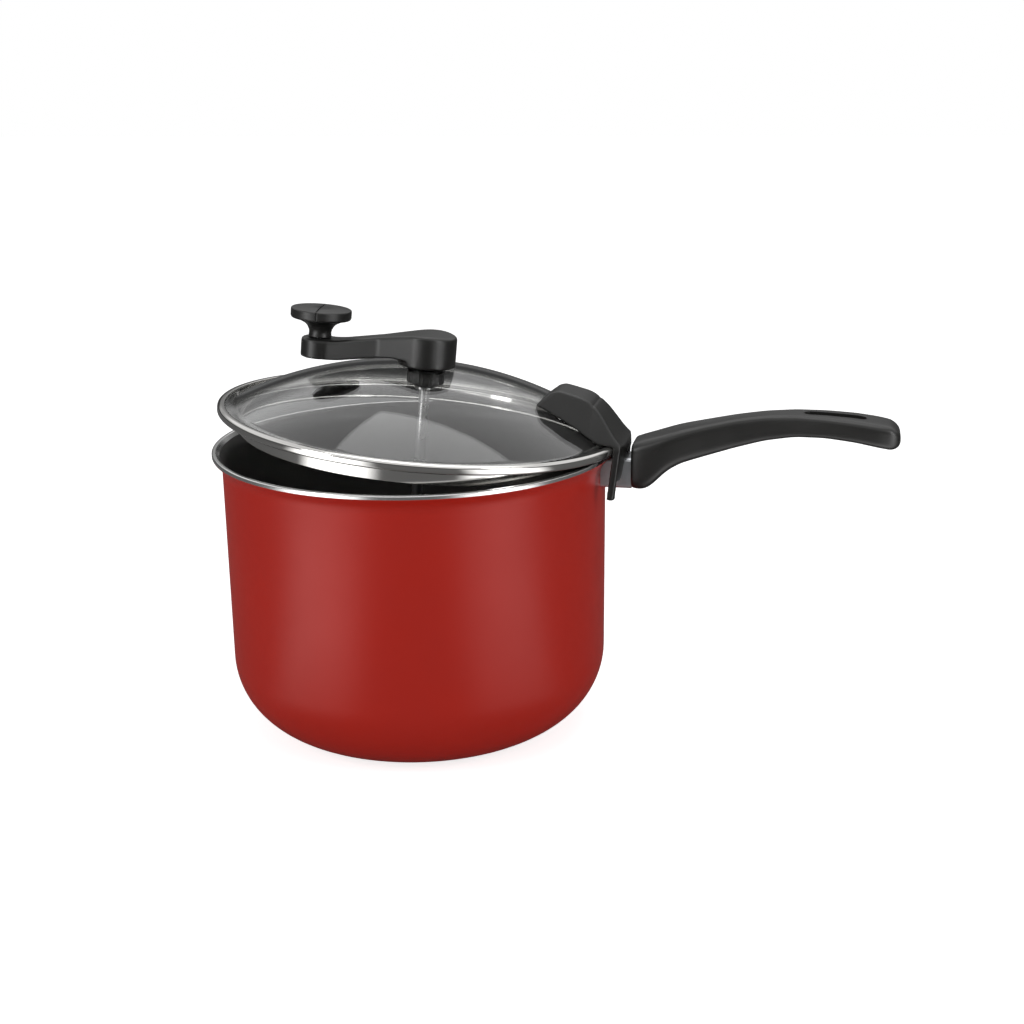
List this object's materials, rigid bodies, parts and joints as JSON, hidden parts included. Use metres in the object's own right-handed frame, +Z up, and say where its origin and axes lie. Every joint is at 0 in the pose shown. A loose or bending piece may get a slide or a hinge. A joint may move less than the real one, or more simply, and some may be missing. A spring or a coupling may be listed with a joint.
{
  "type": "stovetop popcorn popper",
  "caption": "Deep enamelled pan with a long handle and a glass lid, whose hand crank turns a wire stirrer on a shaft down to the pan's floor.",
  "frame": {"origin": "centre of the pan's flat base, on the surface it stands on", "axes": "+Z up, +X from the pan's axis out along the handle, +Y to the left when looking along the handle from the pan"},
  "size_m": [0.384, 0.2309, 0.2423],
  "materials": {
    "red_enamel": "satin red enamel outside, dark non-stick coating inside, bare bright edge on the rim",
    "cast_aluminium": "satin cast and turned aluminium",
    "black_plastic": "satin black heat-proof moulding",
    "clear_glass": "clear polished tempered glass",
    "polished_steel": "mirror polished stainless steel",
    "steel": "plain bright stainless steel",
    "black_rubber": "black silicone rubber",
    "brass": "turned brass"
  },
  "bodies": {
    "pan": {"pan_body": "red_enamel", "handle_bracket": "cast_aluminium", "bracket_rivet_left": "cast_aluminium", "bracket_rivet_right": "cast_aluminium", "handle_grip": "black_plastic", "handle_screw": "steel"},
    "lid": {"lid_glass": "clear_glass", "lid_rim": "polished_steel", "lid_hood": "black_plastic", "hood_screw": "steel", "hood_washer": "steel", "hood_gasket": "black_rubber", "hub_bush": "black_plastic", "bush_nut": "black_plastic", "upper_gasket": "black_rubber", "lower_gasket": "black_rubber"},
    "crank": {"drive_shaft": "steel", "shaft_washer": "steel", "shaft_circlip": "steel", "crank_arm": "black_plastic", "arm_insert": "brass", "knob_pin": "steel", "knob_clip": "steel", "stirrer_hub": "cast_aluminium", "stirrer_set_screw": "steel", "stirrer_wire_long": "steel", "stirrer_wire_short": "steel"},
    "turning_knob": {"knob": "black_plastic"}
  },
  "joints": [
    {"name": "lid_lift", "type": "slide", "parent": "pan", "child": "lid", "axis": [0, 0, 1], "range_m": [0, 0.2]},
    {"name": "crank_turn", "type": "hinge", "parent": "lid", "child": "crank", "pos_m": [0.00796, 0.00213, 0.21301], "axis": [0.0968, 0.0259, 0.995], "continuous": true},
    {"name": "knob_spin", "type": "hinge", "parent": "crank", "child": "turning_knob", "pos_m": [-0.05474, 0.00235, 0.22433], "axis": [0.0968, 0.0259, 0.995], "continuous": true}
  ]
}
